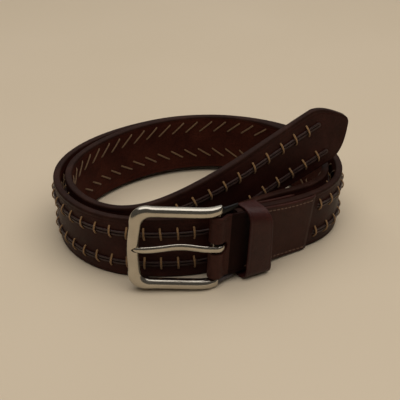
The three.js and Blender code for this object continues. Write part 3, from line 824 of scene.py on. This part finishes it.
def chape_piece():
    path = chape_path()
    ahead = unit(np.gradient(path, axis=0))
    normal = np.column_stack([-ahead[:, 1], ahead[:, 0]])
    step = np.linalg.norm(np.diff(path, axis=0), axis=1)
    travelled = np.concatenate([[0], np.cumsum(step)])
    to_end = np.minimum(travelled, travelled[-1] - travelled)
    offset, up = chape_section().T
    # The skived ends thin toward the strap: the path's own left side is its outer one
    thin = SKIVED_SHARE + (1 - SKIVED_SHARE) * np.clip(to_end / SKIVED_LENGTH, 0, 1)
    offsets = (offset + CHAPE_THICKNESS / 2) * thin[:, None] - CHAPE_THICKNESS / 2
    creased = END_CREASE_DEPTH * bell(to_end - END_CREASE, END_CREASE_SPREAD)
    offsets = np.where(offset > 0, offsets - creased[:, None], offsets)
    s = path[:, :1] + normal[:, :1] * offsets
    out = path[:, 1:] + normal[:, 1:] * offsets
    piece = raw_object("chape_leather", *loft(on_strap(s, out, up)))
    apply_boolean(piece, [slot_cutter()])
    set_materials(piece, chape_leather, painted_shade_leather)
    # Faces between the fold and the keeper get the leather with painted shade
    centres, alongs, _, _ = strap_frames(np.array(PAINTED_SHADE_PART))
    for face in piece.data.polygons:
        from_start, from_end = ((np.array(face.center) / MM - centres) * alongs).sum(axis=1)
        face.material_index = int(from_start > 0 > from_end)
    finish_piece(piece, "strap", ["chape"], 45)


def slot_cutter():
    """The prong's slot, round at the end where it meets the strap."""
    half = SLOT_HEIGHT / 2
    reach = 2 * HEEL_BAR_RADIUS + CHAPE_THICKNESS
    angle = np.linspace(-np.pi / 2, np.pi / 2, 13)
    outline_s = np.concatenate([[-reach], SLOT_REACH - half + half * np.cos(angle), [-reach]])
    outline_up = np.concatenate([[-half], half * np.sin(angle), [half]])
    rings = [on_strap(outline_s, out, outline_up) for out in (-reach, reach)]
    return raw_object("cutter", *loft(rings))


def seam_piece():
    """Fine stitches along both edges of the chape, on its outer leg and its inner one."""
    surface = FACE + GAP + CHAPE_THICKNESS
    share, rise = np.array(STITCH_ARC, float).T
    parts = []
    for side, leg_length in ((1, CHAPE_OUTER_LENGTH), (-1, CHAPE_INNER_LENGTH)):
        starts = np.arange(SEAM_START, leg_length - SEAM_END - SEAM_PITCH, SEAM_PITCH)
        for height in (SEAM_HEIGHT, -SEAM_HEIGHT):
            s = starts[:, None] + STITCH_START + (SEAM_PITCH - STITCH_SPACE) * share
            paths = on_strap(s, side * (surface + rise - SEAM_SUNK), height)
            across = strap_frames(s.ravel())[3].reshape(paths.shape)
            parts.append(tubes(paths, across, *SEAM_THREAD, 6))
    piece = raw_object("chape_stitches", *joined(parts))
    set_materials(piece, seam_thread)
    finish_piece(piece, "strap", [], 80)


def keeper_outline(end, inset):
    """The keeper's outline at one of its ends, set in by an inset, as out and up."""
    right = end["front"] - inset
    left = -(FACE + GAP + CHAPE_THICKNESS + KEEPER_BACK_GAP + KEEPER_THICKNESS) + inset
    top = STRAP_WIDTH / 2 + KEEPER_TOP_PLAY + KEEPER_THICKNESS - inset
    bottom = -(STRAP_WIDTH / 2 + end["bottom_play"] + KEEPER_THICKNESS) + inset
    low, high, back = (KEEPER_RADII[name] - inset for name in ("bottom_front", "top_front", "back"))
    corners = [
        (right - low, bottom + low, low, -90),
        (right - high, top - high, high, 0),
        (left + back, top - back, back, 90),
        (left + back, bottom + back, back, 180),
    ]
    points = []
    for out, up, radius, start in corners:
        angle = np.radians(start + np.linspace(0, 90, KEEPER_CORNER_POINTS))
        points += list(zip(out + radius * np.cos(angle), up + radius * np.sin(angle)))
    return evened(np.array(points), KEEPER_OUTLINE_POINTS)


def evened(outline, count):
    """The same closed outline with points at equal spacing."""
    closed = np.vstack([outline, outline[:1]])
    length = np.concatenate([[0], np.cumsum(np.linalg.norm(np.diff(closed, axis=0), axis=1))])
    wanted = np.linspace(0, length[-1], count, endpoint=False)
    return np.column_stack([np.interp(wanted, length, closed[:, k]) for k in range(2)])


def keeper_piece():
    """The keeper as rings round its band's section, with soft edges and a faint crease along each edge."""
    half = KEEPER_WIDTH / 2
    shares = np.array(KEEPER_POINTS)
    crease = KEEPER_CREASE_DEPTH * bell(np.abs(shares) - KEEPER_CREASE_PLACE, KEEPER_CREASE_SPREAD)
    angle = np.radians([20, 50, 80])
    edge = [(half - KEEPER_EDGE * (1 - math.sin(a)), KEEPER_EDGE * (1 - math.cos(a))) for a in angle]
    outer = list(zip(shares * half, crease))
    right_edge = edge + [(w, KEEPER_THICKNESS - depth) for w, depth in reversed(edge)]
    inner = [(w, KEEPER_THICKNESS) for w in shares[::-1] * half]
    left_edge = [(-w, depth) for w, depth in reversed(right_edge)]
    rings = []
    for width, depth in outer + right_edge + inner + left_edge:
        share = 0.5 + width / KEEPER_WIDTH
        end = {}
        for name, near in KEEPER_NEAR_END.items():
            end[name] = near + (KEEPER_FAR_END[name] - near) * share
        out, up = keeper_outline(end, depth).T
        rings.append(on_strap(KEEPER_POSITION + width - up * end["slant"], out, up))
    piece = raw_object("keeper_leather", *loft(rings, closed_path=True))
    set_materials(piece, keeper_leather)
    finish_piece(piece, "strap", ["keeper"], 60)


# Buckle and prong

heel_centre, _, _, heel_up = (part[0] for part in strap_frames(np.array([0.0])))
reach_direction = np.array([-1.0, 0, 0]) - heel_up * np.dot([-1.0, 0, 0], heel_up)
reach_direction /= np.linalg.norm(reach_direction)
depth_direction = np.cross(heel_up, reach_direction)


def on_buckle(reach, depth, height):
    reach, depth, height = np.broadcast_arrays(reach, depth, height)
    return (
        heel_centre
        + reach[..., None] * reach_direction
        + depth[..., None] * depth_direction
        + height[..., None] * heel_up
    )


def rounded_section(wide, deep, around):
    angle = 2 * np.pi * (np.arange(around) + 0.5) / around

    def rounded(value):
        return np.sign(value) * np.abs(value) ** SQUARENESS

    return wide / 2 * rounded(np.cos(angle)), deep / 2 * rounded(np.sin(angle))


def frame_rows():
    """The buckle's centre line with its section: reach, depth, height, heading, width, depth of section.

    Round a corner the section is fuller on its outer side alone."""
    half = BUCKLE_HEIGHT / 2
    lower = [(r, d, inset + tall / 2 - half, 0, tall, deep) for r, d, tall, deep, inset in ARM_PROFILE]
    upper = [(r, d, -h, np.pi, tall, deep) for r, d, h, _, tall, deep in reversed(lower)]
    bar_half = half - ARM_HEIGHT / 2 - CORNER_RADIUS

    def corner(start, centre_height):
        rows = []
        for k in range(CORNER_ROWS):
            heading = start + (k + 0.5) / CORNER_ROWS * np.pi / 2
            wide = ARM_HEIGHT + (FAR_BAR_WIDTH - ARM_HEIGHT) * math.sin(heading)
            fuller = CORNER_FULLNESS * abs(math.sin(2 * heading))
            wide += fuller
            radius = CORNER_RADIUS + fuller / 2
            reach = FAR_BAR_REACH - CORNER_RADIUS + radius * math.sin(heading)
            height = centre_height - radius * math.cos(heading)
            rows.append((reach, FAR_BAR_DEPTH, height, heading, wide, FRAME_DEPTH))
        return rows

    bar = []
    for share in (-1, -0.5, 0, 0.5, 1):
        reach = FAR_BAR_REACH + FAR_BAR_BOW * (1 - share**2)
        bar.append((reach, FAR_BAR_DEPTH, share * bar_half, np.pi / 2, FAR_BAR_WIDTH, FRAME_DEPTH))
    return lower + corner(0, -bar_half) + bar + corner(np.pi / 2, bar_half) + upper


def buckle_piece():
    """The frame with its heel bar and the prong's notch. Its ears are unpolished and carry painted shade:
    the lower one grey, the upper one nearly black.
    """
    rings = []
    for reach, depth, height, heading, wide, deep in finer(frame_rows(), 5):
        offset, to_front = rounded_section(wide, deep, FRAME_SIDES)
        far = reach - offset * math.sin(heading)
        high = height + offset * math.cos(heading)
        rings.append(on_buckle(far, depth + to_front, high))
    piece = raw_object("buckle_metal", *loft(rings))
    apply_boolean(piece, [heel_bar()], "UNION")
    apply_boolean(piece, [notch_cutter()])
    set_materials(piece, nickel, dull_nickel_with_painted_shade, painted_shade_nickel)
    # Faces behind the heel bar get the ears' metal with painted shade, darkest on the upper ear
    for face in piece.data.polygons:
        place = np.array(face.center) / MM - heel_centre
        if np.dot(place, reach_direction) > EAR_REACH:
            face.material_index = 0
        else:
            face.material_index = 2 if np.dot(place, heel_up) > 0 else 1
    finish_piece(piece, "buckle", ["buckle_frame"], 45)


def heel_bar():
    angle = 2 * np.pi * np.arange(ROUND_SIDES) / ROUND_SIDES
    half = (BUCKLE_HEIGHT - ARM_HEIGHT) / 2
    rings = [
        on_buckle(HEEL_BAR_RADIUS * np.cos(angle), HEEL_BAR_RADIUS * np.sin(angle), height)
        for height in (-half, half)
    ]
    return raw_object("bar", *loft(rings))


def notch_cutter():
    """A round-bottomed groove in the far bar's face, running out under the prong's point."""
    angle = np.linspace(np.pi, 2 * np.pi, 13)
    rings = []
    for before_end, size, rise in NOTCH_SHAPE:
        half = NOTCH_HEIGHT / 2 * size
        floor = NOTCH_FLOOR + rise
        up = np.concatenate([half * np.cos(angle), [half, -half]])
        depth = np.concatenate([floor + half + half * np.sin(angle), [NOTCH_FLOOR + FRAME_DEPTH] * 2])
        rings.append(on_buckle(NOTCH_END - before_end, depth, up))
    return raw_object("cutter", *loft(rings))


def prong_piece():
    eye_radius = HEEL_BAR_RADIUS + PRONG_PLAY + PRONG_DEPTH / 2
    turn = np.radians(np.linspace(PRONG_EYE_START, PRONG_EYE_END, 11))
    eye = [(eye_radius * math.cos(a), eye_radius * math.sin(a), 1) for a in turn]
    path = finer(eye + PRONG_SHANK, 4)
    ahead = unit(np.gradient(path[:, :2], axis=0))
    rings = []
    for (reach, depth, size), (forward, frontward) in zip(path, ahead):
        up, offset = rounded_section(size * PRONG_HEIGHT, size * PRONG_DEPTH, PRONG_SIDES)
        rings.append(on_buckle(reach - frontward * offset, depth + forward * offset, up))
    piece = raw_object("prong_metal", *loft(rings))
    set_materials(piece, nickel)
    finish_piece(piece, "prong", ["prong"], 60)


# Camera, light and floor

def look_at(thing, target):
    thing.rotation_euler = (Vector(target) - thing.location).to_track_quat("-Z", "Y").to_euler()


def add_camera():
    data = bpy.data.cameras.new("camera")
    data.sensor_width = 36
    data.lens = CAMERA_LENS
    data.clip_start = 0.01
    camera = bpy.data.objects.new("camera", data)
    camera.location = CAMERA_PLACE
    look_at(camera, CAMERA_TARGET)
    bpy.context.scene.collection.objects.link(camera)
    bpy.context.scene.camera = camera


def add_light(name, place, target, size, power, mirrored):
    data = bpy.data.lights.new(name, "AREA")
    data.shape = "RECTANGLE"
    data.size, data.size_y = size
    data.energy = power
    data.color = LIGHT_COLOUR
    light = bpy.data.objects.new(name, data)
    light.location = place
    light.visible_glossy = mirrored
    look_at(light, target)
    bpy.context.scene.collection.objects.link(light)


def add_stage():
    corners = [(x * FLOOR_REACH, y * FLOOR_REACH, 0) for x, y in ((-1, -1), (1, -1), (1, 1), (-1, 1))]
    mesh = bpy.data.meshes.new("floor")
    mesh.from_pydata(corners, [], [(0, 1, 2, 3)])
    floor = bpy.data.objects.new("floor", mesh)
    floor.data.materials.append(floor_material())
    bpy.context.scene.collection.objects.link(floor)
    world = bpy.data.worlds.new("world")
    world.use_nodes = True
    world.node_tree.nodes["Background"].inputs["Color"].default_value = WORLD_COLOUR
    world.node_tree.nodes["Background"].inputs["Strength"].default_value = WORLD_STRENGTH
    bpy.context.scene.world = world
    bpy.context.scene.view_settings.view_transform = "Standard"
    bpy.context.scene.view_settings.look = "None"
    for light in LIGHTS:
        add_light(*light)


add_camera()
add_stage()
strap_piece()
cords_piece("upper_cord_pair", ROW_HEIGHT, upper_wraps, UPPER_CORD_END_TO_TIP, "upper_cords")
cords_piece("lower_cord_pair", -ROW_HEIGHT, lower_wraps, LOWER_CORD_END_TO_TIP, "lower_cords")
stitches_piece("upper_thread", ROW_HEIGHT, upper_wraps, HOLE_TO_ROW)
stitches_piece("lower_thread", -ROW_HEIGHT, lower_wraps, LOWER_SLANT_SHARE * HOLE_TO_ROW)
chape_piece()
seam_piece()
keeper_piece()
buckle_piece()
prong_piece()
